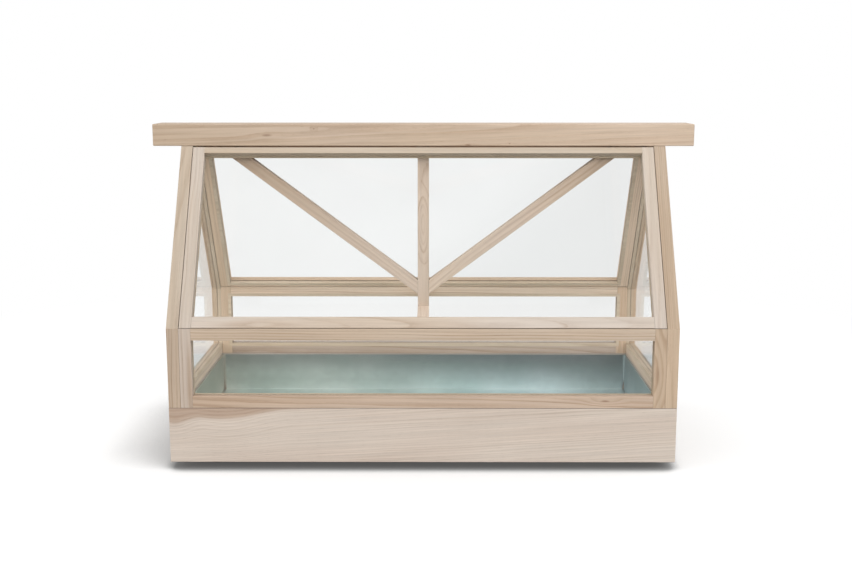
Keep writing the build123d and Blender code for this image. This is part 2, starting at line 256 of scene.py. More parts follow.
class Shaper:
    """One new mesh in edit mode, whose parts are picked by their place in millimetres."""

    def __init__(self, piece: Piece) -> None:
        """Opens the piece for editing."""
        self.piece = piece
        bpy.ops.object.mode_set(mode="EDIT")

    def pick(self, kind: Element, test: Callable[[Vector], bool]) -> None:
        """Selects the parts whose middle passes a test, and nothing else.

        Args:
            kind: The kind of part.
            test: Takes the middle of a part, in millimetres.
        """
        bpy.ops.mesh.select_mode(type=kind.value)
        bpy.ops.mesh.select_all(action="DESELECT")
        shape = bmesh.from_edit_mesh(self.piece.data)
        parts = {Element.VERT: shape.verts, Element.EDGE: shape.edges, Element.FACE: shape.faces}[kind]
        for part in parts:
            corners = [part] if kind is Element.VERT else list(part.verts)
            middle = sum((corner.co for corner in corners), Vector()) / len(corners)
            if test(middle / MM):
                part.select_set(True)
        shape.select_flush_mode()
        bmesh.update_edit_mesh(self.piece.data)

    def push(self, up: float) -> None:
        """Extrudes what is picked upwards by a step in millimetres."""
        bpy.ops.mesh.extrude_region_move(TRANSFORM_OT_translate={"value": (0.0, 0.0, up * MM)})

    def spread(self, x: float, y: float) -> None:
        """Scales what is picked about the Z axis."""
        bpy.ops.transform.resize(value=(x, y, 1.0), center_override=(0.0, 0.0, 0.0))

    def slice(self, point: Point, normal: Point, **options: bool) -> None:
        """Cuts the whole mesh with a plane through a point in millimetres."""
        bpy.ops.mesh.select_all(action="SELECT")
        bpy.ops.mesh.bisect(plane_co=tuple(part * MM for part in point), plane_no=normal, **options)

    def round(self, radius: float, segments: int) -> None:
        """Rounds the picked edges by a radius in millimetres."""
        bpy.ops.mesh.bevel(offset=radius * MM, segments=segments, profile=0.5, affect="EDGES")

    def face_out(self) -> None:
        """Merges doubles and turns all faces outwards."""
        bpy.ops.mesh.select_all(action="SELECT")
        bpy.ops.mesh.remove_doubles(threshold=0.00001)
        bpy.ops.mesh.normals_make_consistent(inside=False)

    def close(self) -> None:
        """Leaves edit mode."""
        bpy.ops.object.mode_set(mode="OBJECT")


def finish_mesh(piece: Piece, angle: float = 35.0) -> None:
    """Smooths a new piece's shading except at its sharp edges.

    Args:
        piece: The piece.
        angle: Edges sharper than this, in degrees, stay sharp.
    """
    bpy.ops.object.select_all(action="DESELECT")
    piece.select_set(True)
    bpy.context.view_layer.objects.active = piece
    bpy.ops.object.shade_smooth_by_angle(angle=math.radians(angle))


class Run(Enum):
    """Which way the fibres of a piece run, and which way its shown face looks inwards."""

    ALONG = ((1.0, 0.0, 0.0), (0.0, 1.0, 0.0))
    ACROSS = ((0.0, 1.0, 0.0), (1.0, 0.0, 0.0))
    UPRIGHT = ((0.0, 0.0, 1.0), (0.0, 1.0, 0.0))
    FRONT_ROOF = ((0.0, ROOF_IN, ROOF_UP), (0.0, ROOF_UP, -ROOF_IN))
    REAR_ROOF = ((0.0, -ROOF_IN, ROOF_UP), (0.0, -ROOF_UP, -ROOF_IN))
    LEFT_STRUT = ((-STRUT_OUT, 0.0, STRUT_UP), (0.0, 1.0, 0.0))
    RIGHT_STRUT = ((STRUT_OUT, 0.0, STRUT_UP), (0.0, 1.0, 0.0))

    def basis(self) -> Matrix:
        """Gives the turn that lays the fibres along X and the depth along Y."""
        run, depth = Vector(self.value[0]), Vector(self.value[1])
        return Matrix((run, depth, run.cross(depth)))


class End(Enum):
    """Front or rear of the house."""

    FRONT = "front"
    REAR = "rear"

    def roof(self) -> Run:
        """Gives the way the fibres run up this slope of the roof."""
        return Run.FRONT_ROOF if self is End.FRONT else Run.REAR_ROOF


@dataclass(frozen=True)
class WoodFigure:
    """Node group with the growth rings, fibres, pores, heart and knots of a sawn piece."""

    name: str = "wood_figure"
    heart_tone: Colour = (0.74, 0.64, 0.57, 1.0)
    heart_edge: float = 3.0
    knot_tone: Colour = tone(120, 82, 56)
    end_level: float = 0.82

    def tree(self) -> Tree:
        """Gives the group, and builds it the first time."""
        return bpy.data.node_groups.get(self.name) or self.build()

    def sockets(self, tree: Tree) -> None:
        """Declares what goes into the group and comes out of it.

        Args:
            tree: The group's node tree.
        """
        numbers = ("Ring", "Strength", "Warp", "Heart", "Swell", "Spot", "End")
        sides = [("INPUT", "Vector", "Vector")]
        sides += [("INPUT", name, "Float") for name in numbers]
        sides += [("INPUT", name, "Color") for name in ("Pale", "Warm", "Dark")]
        sides += [("OUTPUT", "Color", "Color")]
        sides += [("OUTPUT", name, "Float") for name in ("Roughness", "Height")]
        for side, name, kind in sides:
            tree.interface.new_socket(name, in_out=side, socket_type="NodeSocket" + kind)

    def build(self) -> Tree:
        """Builds the group: rings round the heart of the log, then what lies along the fibres.

        Returns:
            The node tree.
        """
        tree = bpy.data.node_groups.new(self.name, "ShaderNodeTree")
        self.sockets(tree)
        bench = Bench(tree)
        given = bench.put("NodeGroupInput").outputs
        place = bench.scale(given["Vector"], 1 / MM)

        def grain(along: float, across: float, detail: float = 2.0, output: str = "Fac") -> Socket:
            """Adds a pattern drawn out along the fibres, with its length and width in millimetres."""
            drawn = bench.stretch(place, (1 / along, 1 / across, 1 / across))
            return bench.noise(drawn, detail, output=output)

        bent = place
        for along, across, share in ((300.0, 70.0, 2.0), (60.0, 12.0, 0.25)):
            sway = bench.vector("SUBTRACT", grain(along, across, output="Color"), (0.5, 0.5, 0.5))
            sway = bench.scale(sway, bench.math("MULTIPLY", given["Warp"], share))
            bent = bench.vector("ADD", bent, sway)
        radius = bench.vector("LENGTH", bench.stretch(bent, (0.0, 1.0, 1.0)))
        radius = bench.math("ADD", radius, given["Swell"])

        drift = {"W": bench.math("DIVIDE", radius, 11.0), "Scale": 1.0, "Detail": 1.0}
        years = bench.put("ShaderNodeTexNoise", drift, noise_dimensions="1D").outputs[0]
        years = bench.grade(years, 1.6, bench.math("DIVIDE", radius, given["Ring"]))
        count = {"W": bench.math("FLOOR", years)}
        odd = bench.put("ShaderNodeTexWhiteNoise", count, noise_dimensions="1D").outputs[0]
        phase = bench.math("FRACT", years)
        early = bench.ease(phase, 0.0, 0.55, 1.0, 0.0)
        band = bench.math("MAXIMUM", early, bench.ease(phase, 0.86, 1.0))
        patchy = bench.ease(grain(160.0, 10.0), 0.3, 0.7, 0.5, 1.2)
        line = bench.math("MULTIPLY", band, bench.grade(odd, 0.9, 0.3))
        line = bench.math("MULTIPLY", bench.math("MULTIPLY", line, patchy), given["Strength"])

        fibre = grain(45.0, 1.1, 3.0)
        pore = bench.ease(grain(10.0, 0.32, 1.0), 0.60, 0.70)
        pore = bench.math("MULTIPLY", pore, bench.grade(band, 0.8, 0.2))
        cloud = bench.ease(grain(420.0, 55.0), 0.35, 0.65)
        streak = bench.ease(grain(180.0, 3.0), 0.25, 0.75, 0.94, 1.06)

        colour = bench.blend(cloud, given["Pale"], given["Warm"])
        colour = bench.blend(line, colour, given["Dark"])
        colour = bench.scale(colour, bench.grade(fibre, 0.16, 0.92))
        colour = bench.scale(colour, streak)
        colour = bench.blend(bench.math("MULTIPLY", pore, 0.3), colour, bench.scale(given["Dark"], 0.6))
        inner = bench.math("SUBTRACT", given["Heart"], self.heart_edge)
        outer = bench.math("ADD", given["Heart"], self.heart_edge)
        heart = bench.ease(radius, inner, outer, 1.0, 0.0)
        colour = bench.blend(heart, colour, self.heart_tone, "MULTIPLY")
        colour = bench.blend(given["Spot"], colour, self.knot_tone)
        colour = bench.blend(given["End"], colour, bench.scale(colour, self.end_level))

        rough = bench.grade(fibre, 0.10, bench.grade(line, -0.08, 0.60))
        height = bench.grade(pore, -0.6, bench.math("MULTIPLY", fibre, 0.3))
        height = bench.grade(band, -0.25, height)
        bench.put("NodeGroupOutput", {"Color": colour, "Roughness": rough, "Height": height})
        return tree


@dataclass(frozen=True)
class Knot:
    """Knot or swirl that the rings bend round, seen on a piece's face; sizes in millimetres."""

    along: float
    across: float
    size: float = 2.2
    length: float = 1.7
    dark: float = 0.55
    pull: float = 3.0


@dataclass(frozen=True)
class Cut:
    """How one piece was sawn from its log, in millimetres and degrees.

    The heart of the log lies at depth and across, and the log is turned by tilt and lean.
    """

    wood: WoodFinish
    run: Run
    depth: float = 45.0
    across: float = 10.0
    tilt: float = 0.4
    lean: float = 0.4
    ring: float = 2.6
    heart: float = 0.0
    knots: tuple[Knot, ...] = ()
    # Colour factors at the start and at the end of the piece along its fibres: partly the wood's own tone
    # and partly painted light and shade, such as brighter rear members and darker strut tops under the
    # beam.
    tint_and_light: Point = (1.0, 1.0, 1.0)
    fade: Point | None = None
    figure: float = 1.0
    # Height in millimetres of the joint that gets a painted shade line along it, or 0 for none.
    seam: float = 0.0


@dataclass(frozen=True)
class WoodFinish:
    """Colours of a kind of wood, sanded and left bare, with painted shade in nooks and along a joint; reach
    and depth in metres.
    """

    name: str
    pale: Colour
    warm: Colour
    dark: Colour
    strength: float = 0.5
    warp: float = 5.0
    relief: float = 0.25
    relief_depth: float = 0.0004
    nook_shade_reach: float = 0.0010
    joint_shade_edge: Span = (0.0003, 0.0011)
    shine: float = 0.3

    def material(self, node: str, cut: Cut) -> Material:
        """Makes the finish for one piece, with the figure laid as that piece was sawn.

        Args:
            node: The piece's name in the frame.
            cut: How it was sawn.

        Returns:
            The material.
        """
        dice = random.Random(node)
        material, bench, shader = new_material(f"{self.name}.{node}")
        low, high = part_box(node)
        lean = Matrix.Rotation(math.radians(cut.lean), 3, "Z")
        turn = Matrix.Rotation(math.radians(cut.tilt), 3, "Y") @ lean @ cut.run.basis()
        shift = Vector((dice.uniform(1.0, 9.0), cut.depth * MM, cut.across * MM))
        angles = turn.to_euler("XYZ")
        place = bench.place()
        laid = {"Vector": place, "Location": shift - turn @ ((low + high) / 2), "Rotation": angles}
        vector = bench.put("ShaderNodeMapping", laid, vector_type="POINT").outputs[0]
        turned = {"Vector": bench.place("Normal"), "Rotation": angles}
        facing = bench.put("ShaderNodeMapping", turned, vector_type="VECTOR").outputs[0]
        end = bench.ease(bench.math("ABSOLUTE", bench.part(facing, Axis.X)), 0.55, 0.9)
        swell, spot = self.knots(bench, vector, cut, shift)
        feeds = {"Vector": vector, "Ring": cut.ring, "Heart": cut.heart, "Swell": swell, "Spot": spot}
        feeds |= {"Strength": self.strength * cut.figure, "Warp": self.warp, "End": end}
        feeds |= {"Pale": self.pale, "Warm": self.warm, "Dark": self.dark}
        figure = bench.put("ShaderNodeGroup", feeds, node_tree=WoodFigure().tree()).outputs

        reach = sum(abs(part) * size for part, size in zip(cut.run.value[0], high - low)) / 2
        along = bench.ease(bench.part(vector, Axis.X), shift.x - reach, shift.x + reach)
        # Painted light and shade along the piece, mixed with its own tone.
        tint_and_light = bench.blend(along, cut.tint_and_light + (1.0,), (cut.fade or cut.tint_and_light) + (1.0,))
        colour = bench.blend(1.0, figure["Color"], tint_and_light, "MULTIPLY")
        # Painted shade: darker where other surfaces lie within the reach, in corners, slots and between
        # pieces.
        nook_shade = bench.openness(self.nook_shade_reach, 4)
        colour = bench.scale(colour, bench.ease(nook_shade, 0.35, 0.92, 0.58, 1.0))
        # Painted shade: a dark line along the joint between base and house, where shade falls in the
        # groove.
        if cut.seam:
            gap = bench.math("SUBTRACT", bench.part(place, Axis.Z), cut.seam * MM)
            seam = bench.ease(bench.math("ABSOLUTE", gap), *self.joint_shade_edge, 0.45, 1.0)
            colour = bench.scale(colour, seam)
        looks = {"Base Color": colour, "Roughness": figure["Roughness"], "Specular IOR Level": self.shine}
        bench.feed(shader, looks)
        bench.relief(shader, figure["Height"], self.relief, self.relief_depth)
        return material

    def knots(self, bench: Bench, vector: Socket, cut: Cut, shift: Vector) -> tuple[object, object]:
        """Lays the knots of a piece.

        Args:
            bench: Where the nodes go.
            vector: Place in the log, in metres.
            cut: How the piece was sawn, with its knots.
            shift: Where the middle of the piece lies in the log.

        Returns:
            How far the knots push the rings out, and how dark they are.
        """
        swell: object = 0.0
        spot: object = 0.0
        for knot in cut.knots:
            middle = (shift.x + knot.along * MM, 0.0, shift.z + knot.across * MM)
            away = bench.vector("SUBTRACT", vector, middle)
            away = bench.vector("LENGTH", bench.stretch(away, (1 / (knot.length * MM), 0.0, 1 / MM)))
            bulge = bench.ease(away, 0.0, knot.size * 4.5, knot.pull, 0.0)
            dot = bench.ease(away, knot.size * 0.2, knot.size, knot.dark, 0.0)
            swell = bench.math("ADD", bulge, swell)
            spot = bench.math("MAXIMUM", dot, spot)
        return swell, spot


@dataclass(frozen=True)
class GlassFinish:
    """Clear float glass with a faint film of dust and painted shade towards the lower right, which lets
    diffuse light through; sizes in metres.
    """

    name: str = "clear_glass"
    clean: Colour = (0.955, 0.960, 0.958, 1.0)
    # Colour of the dust film, also used for the painted shade.
    dusty: Colour = (0.905, 0.910, 0.908, 1.0)
    clear: Colour = (0.990, 0.992, 0.991, 1.0)
    index: float = 1.32
    painted_shade_way: Point = (1.0, 0.0, -1.2)
    painted_shade_edge: Span = (-0.42, -0.18)
    rear_pane: Span = (0.160, 0.166)

    def material(self) -> Material:
        """Makes the glass.

        Returns:
            The material.
        """
        material, bench, shader = new_material(self.name)
        place = bench.place()
        dust_and_shade = bench.ease(bench.noise(place, 4.0, 9.0), 0.35, 0.75, 0.0, 0.3)
        # Painted shade: the glass turns to the dusty colour towards the lower right.
        drift = bench.vector("DOT_PRODUCT", place, self.painted_shade_way)
        dust_and_shade = bench.math("MAXIMUM", dust_and_shade, bench.ease(drift, *self.painted_shade_edge, 0.0, 0.85))
        dust_and_shade = bench.math("MAXIMUM", dust_and_shade, bench.ease(bench.part(place, Axis.Y), *self.rear_pane))
        bench.feed(shader, {"Base Color": bench.blend(dust_and_shade, self.clean, self.dusty)})
        bench.feed(shader, {"Roughness": 0.0, "IOR": self.index, "Transmission Weight": 1.0})
        bench.relief(shader, bench.noise(bench.stretch(place, (3.0, 3.0, 1.2)), 1.0), 0.05, 0.002)
        clear = bench.put("ShaderNodeBsdfTransparent", {"Color": self.clear})
        bench.show(bench.either(bench.rays("Shadow", "Diffuse"), shader, clear))
        return material


@dataclass(frozen=True)
class ZincFinish:
    """Matt galvanised sheet with faint crystals, rolling streaks and a darker bloom, and painted light and
    shade on its walls; sizes in metres.
    """

    name: str = "zinc_sheet"
    light: Colour = tone(212, 220, 216)
    bloom: Colour = tone(192, 205, 200)
    solder: Colour = tone(222, 226, 222)
    right_shade_tint: Colour = (0.96, 1.0, 1.06, 1.0)
    left_end_tint: Colour = (1.03, 0.89, 0.79, 1.0)
    rim: float = 0.092
    foot: Span = (0.0305, 0.050)
    end_wall: Span = (0.3420, 0.3465)
    left_end_edge: Span = (-0.3475, -0.342)

    def painted_wall_light(self, bench: Bench, place: Socket, right: Socket) -> Socket:
        """Gives the painted light and shade on the walls: brighter at the foot and in the middle, darker
        towards the rim and towards the right, with the end walls at a level of their own.

        Args:
            bench: Where the nodes go.
            place: Place on the tray.
            right: Share of the right end there.

        Returns:
            The level.
        """
        x, z = bench.part(place, Axis.X), bench.part(place, Axis.Z)
        from_middle = bench.ease(x, -0.04, 0.02)
        # Painted light: brighter in the middle of the walls.
        middle_light = bench.math("MULTIPLY", from_middle, bench.ease(x, 0.20, 0.33, 1.0, 0.0))
        low = bench.grade(middle_light, 0.10, 1.08)
        high = bench.grade(right, -0.17, 0.60)
        start = bench.grade(right, -0.026, 0.057)
        wall_light = bench.ease(z, start, self.rim, low, high)
        wall_light = bench.math("MULTIPLY", wall_light, bench.ease(z, *self.foot, 1.20, 1.0))
        at_end = bench.ease(bench.math("ABSOLUTE", x), *self.end_wall)
        end_level = bench.grade(right, -0.15, 0.95)
        return bench.put("ShaderNodeMix", {0: at_end, 2: wall_light, 3: end_level}).outputs[0]

    def material(self, soldered: bool = False) -> Material:
        """Makes the sheet metal.

        Args:
            soldered: True for the brighter metal of the seams.

        Returns:
            The material.
        """
        material, bench, shader = new_material(self.name + ("_solder" if soldered else ""))
        place = bench.place()
        cloud = bench.ease(bench.noise(place, 3.0, 7.0), 0.3, 0.7)
        crystal = bench.put("ShaderNodeTexVoronoi", {"Vector": place, "Scale": 120.0}).outputs["Color"]
        crystal = bench.part(crystal, Axis.X)
        streak = bench.noise(bench.stretch(place, (4.0, 4.0, 260.0)))
        x = bench.part(place, Axis.X)
        right = bench.ease(x, -0.25, 0.22)
        colour = bench.blend(cloud, self.solder if soldered else self.light, self.bloom)
        # Painted shade: bluer and a little darker towards the right end.
        colour = bench.blend(right, colour, self.right_shade_tint, "MULTIPLY")
        if soldered:
            level = bench.ease(x, -0.3, 0.3, 0.74, 1.05)
        else:
            level = self.painted_wall_light(bench, place, right)
        colour = bench.scale(colour, level)
        # Warmer and darker colour on the left end wall.
        left_end_tint = bench.ease(x, *self.left_end_edge, 1.0, 0.0)
        colour = bench.blend(left_end_tint, colour, self.left_end_tint, "MULTIPLY")
        shade = bench.grade(streak, 0.06, bench.grade(crystal, 0.07, 0.93))
        rough = bench.grade(crystal, 0.06, bench.grade(cloud, 0.08, 0.30))
        bench.feed(shader, {"Base Color": bench.scale(colour, shade), "Roughness": rough, "Metallic": 0.9})
        dents = bench.grade(bench.noise(place, 1.0, 11.0), 4.0, streak)
        bench.relief(shader, dents, 0.12, 0.0008)
        return material


@dataclass(frozen=True)
class PlywoodFinish:
    """Sanded birch plywood: veneer on its faces and plies along its edges."""

    name: str = "base_plywood"
    face: Colour = tone(212, 188, 152)
    figure: Colour = tone(190, 160, 120)
    core: Colour = tone(150, 116, 80)
    ply: float = 1.8

    def material(self) -> Material:
        """Makes the plywood.

        Returns:
            The material.
        """
        material, bench, shader = new_material(self.name)
        place = bench.place()
        figure = bench.noise(bench.stretch(place, (5.0, 90.0, 90.0)), 4.0)
        flake = bench.noise(bench.stretch(place, (40.0, 900.0, 900.0)))
        face = bench.blend(bench.ease(figure, 0.3, 0.7), self.face, self.figure)
        face = bench.scale(face, bench.grade(flake, 0.2, 0.9))
        layer = bench.math("DIVIDE", bench.part(place, Axis.Z), self.ply * MM)
        layer = bench.math("PINGPONG", layer, 1.0)
        edge = bench.blend(bench.ease(layer, 0.4, 0.6), face, self.core)
        upright = bench.math("ABSOLUTE", bench.part(bench.place("Normal"), Axis.Z))
        colour = bench.blend(bench.ease(upright, 0.4, 0.6), edge, face)
        bench.feed(shader, {"Base Color": colour, "Roughness": bench.grade(flake, 0.15, 0.55)})
        bench.relief(shader, flake, 0.2, 0.0003)
        return material


@dataclass(frozen=True)
class RubberFinish:
    """Dull black rubber with a bloom of dust."""

    name: str = "rubber_feet"
    dark: Colour = tone(34, 34, 35)
    dusty: Colour = tone(62, 60, 58)

    def material(self) -> Material:
        """Makes the rubber.

        Returns:
            The material.
        """
        material, bench, shader = new_material(self.name)
        place = bench.place()
        dust = bench.ease(bench.noise(place, 4.0, 160.0), 0.4, 0.75)
        colour = bench.blend(dust, self.dark, self.dusty)
        bench.feed(shader, {"Base Color": colour, "Roughness": bench.grade(dust, 0.15, 0.7)})
        bench.relief(shader, bench.noise(place, 2.0, 1800.0), 0.3, 0.0002)
        return material


@dataclass(frozen=True)
class SteelFinish:
    """Bright drawn steel with fine turning marks."""

    name: str = "steel_pins"
    bright: Colour = tone(198, 198, 196)
    dull: Colour = tone(160, 160, 160)

    def material(self) -> Material:
        """Makes the steel.

        Returns:
            The material.
        """
        material, bench, shader = new_material(self.name)
        place = bench.place()
        marks = bench.noise(bench.stretch(place, (2600.0, 300.0, 300.0)))
        tarnish = bench.ease(bench.noise(place, 3.0, 240.0), 0.4, 0.7)
        colour = bench.blend(tarnish, self.bright, self.dull)
        rough = bench.grade(marks, 0.2, 0.2)
        bench.feed(shader, {"Base Color": colour, "Roughness": rough, "Metallic": 1.0})
        bench.relief(shader, marks, 0.15, 0.0001)
        return material


FRAME_ASH = WoodFinish("ash_frame", tone(203, 185, 166), tone(195, 174, 152), tone(158, 128, 100), 0.45)
PALE_ASH = WoodFinish("ash_pale", tone(198, 186, 174), tone(193, 177, 160), tone(163, 139, 117), 0.40)
BEAM_ASH = WoodFinish("ash_beam", tone(213, 193, 173), tone(205, 184, 161), tone(168, 135, 105), 0.45)
BOARD_ASH = WoodFinish("ash_boards", tone(213, 201, 189), tone(208, 193, 180), tone(179, 159, 140), 0.45)
BEAD_ASH = WoodFinish("ash_beads", tone(220, 202, 178), tone(210, 190, 164), tone(176, 146, 114), 0.35)
BEECH = WoodFinish("beech_dowels", tone(208, 172, 136), tone(198, 160, 124), tone(158, 116, 84), 0.5)

Cuts = dict[str, Cut]


def dress_timber(nodes: dict[str, Piece], cuts: Cuts) -> None:
    """Gives each wooden piece of a sub-assembly its own figure.

    Args:
        nodes: The frame's pieces by name.
        cuts: How each piece was sawn.
    """
    for name, cut in cuts.items():
        dress(nodes[name], cut.wood.material(name, cut))
        LOG.info("%s dressed in %s", name, cut.wood.name)


@dataclass
class PlantingBase:
    """Timber base on four rubber feet, with a plywood floor under the tray."""

    nodes: dict[str, Piece]

    def timber(self) -> Cuts:
        """Says how the boards and dowels were sawn.

        Returns:
            The cuts by piece.
        """
        corner = (Knot(-282.0, 28.0, 13.3, 1.6, 0.0, -9.0), Knot(-361.0, 30.0, 9.0, 1.2, 0.0, -12.0))
        front = Cut(BOARD_ASH, Run.ALONG, -160.0, -255.0, 3.5, 0.5, 3.1, heart=265.0, knots=corner,
                    tint_and_light=(0.95, 0.935, 0.925), fade=(0.97, 0.965, 0.96), figure=0.85, seam=JOINT)
        return {
            "base_front_board": front,
            "base_rear_board": Cut(BOARD_ASH, Run.ALONG, 150.0, 210.0, 0.9, -0.5, 2.4, seam=JOINT),
            "base_left_board": Cut(BOARD_ASH, Run.ACROSS, 70.0, 24.0, 0.8, 0.6, 2.8, seam=JOINT),
            "base_right_board": Cut(BOARD_ASH, Run.ACROSS, -80.0, -30.0, -0.7, 0.8, 2.6, seam=JOINT),
            "base_dowels": Cut(BEECH, Run.ACROSS, 30.0, 20.0, ring=1.4),
        }

    def build(self) -> None:
        """Dresses the base."""
        dress_timber(self.nodes, self.timber())
        plywood = PlywoodFinish().material()
        dress(self.nodes["base_floor_panel"], plywood)
        dress(self.nodes["base_battens"], plywood)
        dress(self.nodes["base_feet"], RubberFinish().material())
        dress(self.nodes["base_foot_screws"], SteelFinish().material())


@dataclass
class PlantingTray:
    """Tray folded from one zinc sheet, with a turned hem and soldered corners; sizes in millimetres."""

    half_length: float = 347.2
    half_width: float = 160.2
    floor: float = 30.3
    rim: float = 91.5
    sheet: float = 0.8
    fold: float = 1.6
    fold_steps: int = 6
    notch: float = 2.6
    seam: float = 0.35
    taper: float = 15.0
    hem_turn: float = 1.8
    hem_drop: float = 8.0
    hem_fold: float = 0.8
    hem_steps: int = 4
    bead: float = 1.5
    bead_sides: int = 20
    bead_steps: int = 12
    bead_lap: float = 2.0
    bead_stop: float = 1.0
    bead_seed: int = 7

    def on_end(self, point: Vector) -> bool:
        """Says whether a point lies in the plane of an end wall."""
        return abs(abs(point.x) - self.half_length) < NEAR

    def on_side(self, point: Vector) -> bool:
        """Says whether a point lies in the plane of a side wall."""
        return abs(abs(point.y) - self.half_width) < NEAR

    def on_wall(self, point: Vector) -> bool:
        """Says whether a point lies in the plane of a wall."""
        return self.on_end(point) or self.on_side(point)

    def on_rim(self, point: Vector) -> bool:
        """Says whether a point lies on the rim, half way along a wall."""
        outside = max(abs(point.x) - self.half_length, abs(point.y) - self.half_width) > -2.0
        return outside and point.z > self.rim - NEAR and min(abs(point.x), abs(point.y)) < 1.0

    def blank(self) -> Piece:
        """Cuts the floor with its notched corners.

        Returns:
            The floor, open for editing.
        """
        bpy.ops.object.select_all(action="DESELECT")
        bpy.ops.mesh.primitive_plane_add(size=2.0, location=(0.0, 0.0, 0.0))
        piece = bpy.context.object
        piece.name = "zinc_tray"
        shaper = Shaper(piece)
        shaper.spread(self.half_length * MM, self.half_width * MM)
        bpy.ops.transform.translate(value=(0.0, 0.0, self.floor * MM))
        cut_x, cut_y = self.half_length - self.notch, self.half_width - self.notch
        for side in (-1.0, 1.0):
            shaper.slice((side * cut_x, 0.0, 0.0), (1.0, 0.0, 0.0))
            shaper.slice((0.0, side * cut_y, 0.0), (0.0, 1.0, 0.0))
        shaper.pick(Element.FACE, lambda p: abs(p.x) > cut_x and abs(p.y) > cut_y)
        bpy.ops.mesh.delete(type="FACE")
        return piece

    def fold_up(self, piece: Piece) -> None:
        """Folds the walls up, turns their hems over and gives the sheet its thickness.

        Args:
            piece: The notched floor.
        """
        shaper = Shaper(piece)
        middle = self.floor + self.taper
        shaper.pick(Element.EDGE, self.on_wall)
        shaper.push(self.taper)
        shaper.pick(Element.VERT, lambda p: p.z > middle - NEAR and self.on_side(p))
        shaper.spread((self.half_length - self.seam) / (self.half_length - self.notch), 1.0)
        shaper.pick(Element.VERT, lambda p: p.z > middle - NEAR and self.on_end(p))
        shaper.spread(1.0, (self.half_width - self.seam) / (self.half_width - self.notch))
        shaper.pick(Element.EDGE, lambda p: abs(p.z - middle) < NEAR)
        shaper.push(self.rim - middle)
        shaper.push(0.0)
        shaper.spread(1.0 + self.hem_turn / self.half_length, 1.0 + self.hem_turn / self.half_width)
        shaper.push(-self.hem_drop)
        shaper.pick(Element.EDGE, lambda p: abs(p.z - self.floor) < NEAR and self.on_wall(p))
        shaper.round(self.fold, self.fold_steps)
        shaper.pick(Element.EDGE, self.on_rim)
        shaper.round(self.hem_fold, self.hem_steps)
        shaper.face_out()
        shape = bmesh.from_edit_mesh(piece.data)
        if max(shape.faces, key=lambda face: face.calc_area()).normal.z < 0:
            bpy.ops.mesh.flip_normals()
        shaper.close()
        bpy.context.view_layer.objects.active = piece
        thick = piece.modifiers.new("sheet", "SOLIDIFY")
        thick.thickness = self.sheet * MM
        thick.offset = -1.0
        thick.use_even_offset = True
        bpy.ops.object.modifier_apply(modifier=thick.name)
        finish_mesh(piece)

    def solder(self) -> Piece:
        """Runs an uneven bead of solder up each corner seam.

        Returns:
            The four beads as one piece.
        """
        low, high = self.floor + self.taper - self.bead_lap, self.rim - self.bead_stop
        half = (high - low) / 2
        stick = {"vertices": self.bead_sides, "radius": self.bead * MM, "depth": 2 * half * MM}
        bpy.ops.object.select_all(action="DESELECT")
        bpy.ops.mesh.primitive_cylinder_add(location=(0.0, 0.0, 0.0), end_fill_type="NGON", **stick)
        first = bpy.context.object
        first.name = "tray_solder"
        shaper = Shaper(first)
        shaper.slice((0.1, 0.0, 0.0), (1.0, 0.0, 0.0), use_fill=True, clear_outer=True)
        shaper.slice((0.0, 0.1, 0.0), (0.0, 1.0, 0.0), use_fill=True, clear_outer=True)
        levels = [half * (2 * step / self.bead_steps - 1) for step in range(1, self.bead_steps)]
        for level in levels:
            shaper.slice((0.0, 0.0, level), (0.0, 0.0, 1.0))
        dice = random.Random(self.bead_seed)
        sizes = [(level, dice.uniform(0.8, 1.15)) for level in levels]
        for level, size in sizes + [(-half, 0.25), (half, 0.5)]:
            shaper.pick(Element.VERT, lambda p: abs(p.z - level) < NEAR)
            shaper.spread(size, size)
        shaper.face_out()
        shaper.close()
        beads = [first] + [first.copy() for _ in range(3)]
        for bead in beads[1:]:
            bead.data = first.data.copy()
            bpy.context.scene.collection.objects.link(bead)
        corners = ((1.0, 1.0), (-1.0, 1.0), (-1.0, -1.0), (1.0, -1.0))
        for place, (bead, (x, y)) in enumerate(zip(beads, corners)):
            turn = Matrix.Rotation(math.radians(90.0 * place), 4, "Z")
            spot = Vector((x * self.half_length, y * self.half_width, (low + high) / 2)) * MM
            bead.data.transform(Matrix.Translation(spot) @ turn)
        bpy.ops.object.select_all(action="DESELECT")
        for bead in beads:
            bead.select_set(True)
        bpy.context.view_layer.objects.active = first
        bpy.ops.object.join()
        finish_mesh(first, 50.0)
        return first

    def build(self) -> None:
        """Folds the tray, solders its corners and dresses both."""
        tray = self.blank()
        self.fold_up(tray)
        dress(tray, ZincFinish().material())
        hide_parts("tray")
        beads = self.solder()
        dress(beads, ZincFinish().material(soldered=True))
        for piece in (tray, beads):
            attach(piece, "tray")
            LOG.info("%s has %d faces", piece.name, len(piece.data.polygons))


